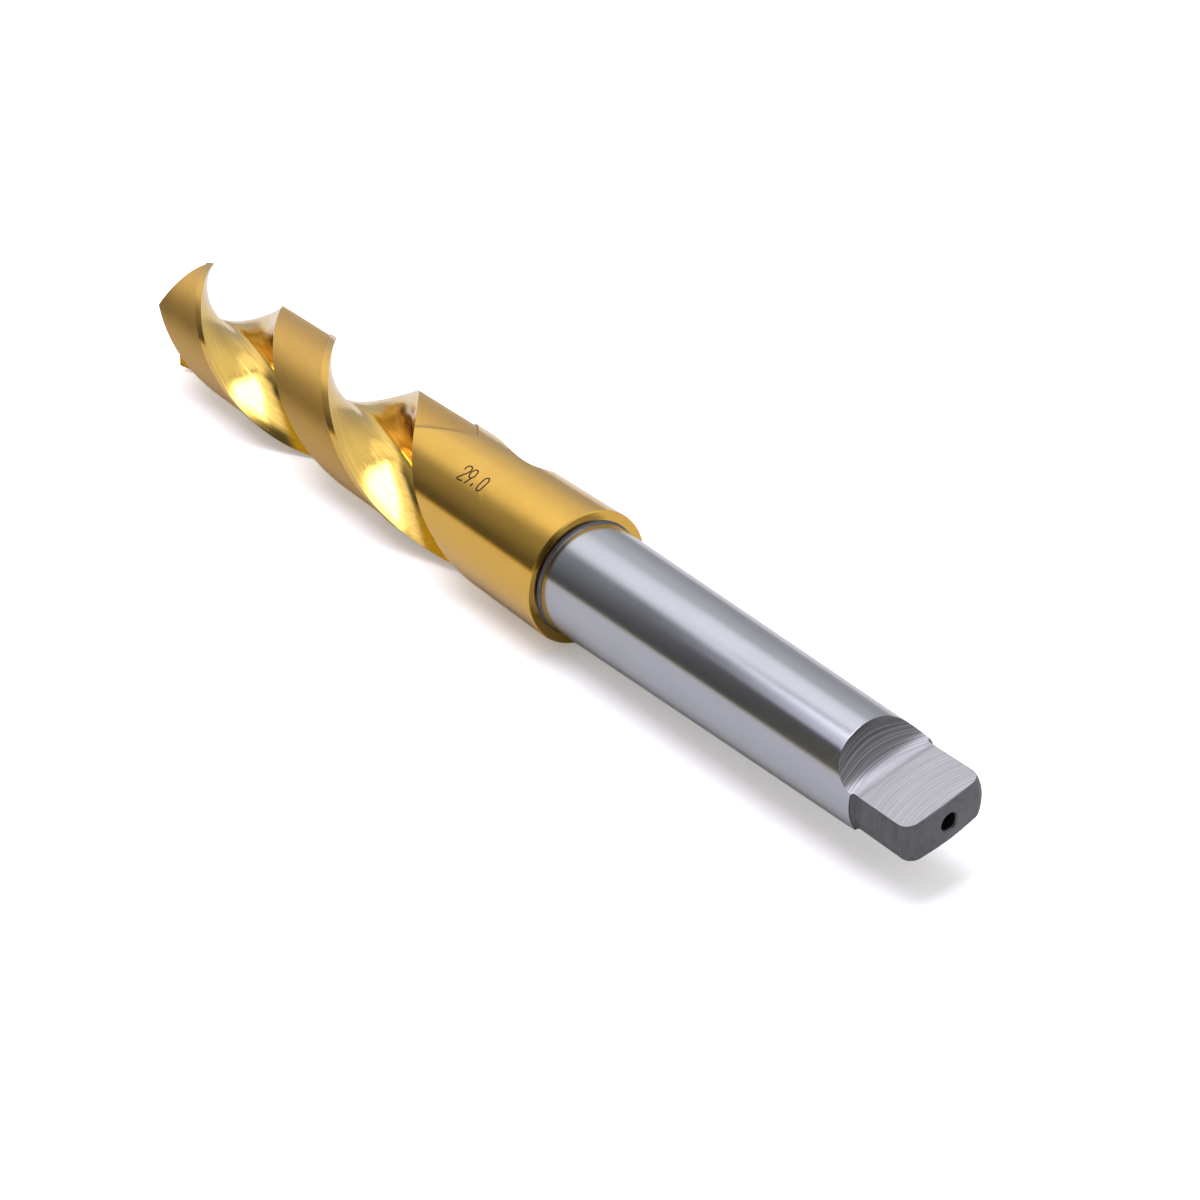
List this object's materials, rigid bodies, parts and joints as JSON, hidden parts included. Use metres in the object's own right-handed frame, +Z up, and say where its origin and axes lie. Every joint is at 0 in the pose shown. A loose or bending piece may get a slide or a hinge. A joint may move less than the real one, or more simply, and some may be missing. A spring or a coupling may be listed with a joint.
{
  "type": "taper shank twist drill",
  "caption": "Twist drill with two right-hand helical flutes, ground point, plain neck, tapered shank and flat driving tang.",
  "frame": {"origin": "on the drill's axis, in the plane of the shoulder where the tapered shank meets the body", "axes": "+X along the axis towards the point, -X towards the tang, +Z up with the drill lying on its side as it rests"},
  "size_m": [0.2846, 0.029, 0.029],
  "materials": {
    "tool_steel": "ground; gold titanium nitride coating on body and flutes, bare bright ground steel on shank and tang"
  },
  "bodies": {
    "root": {"taper_shank_drill": "tool_steel"}
  },
  "joints": []
}
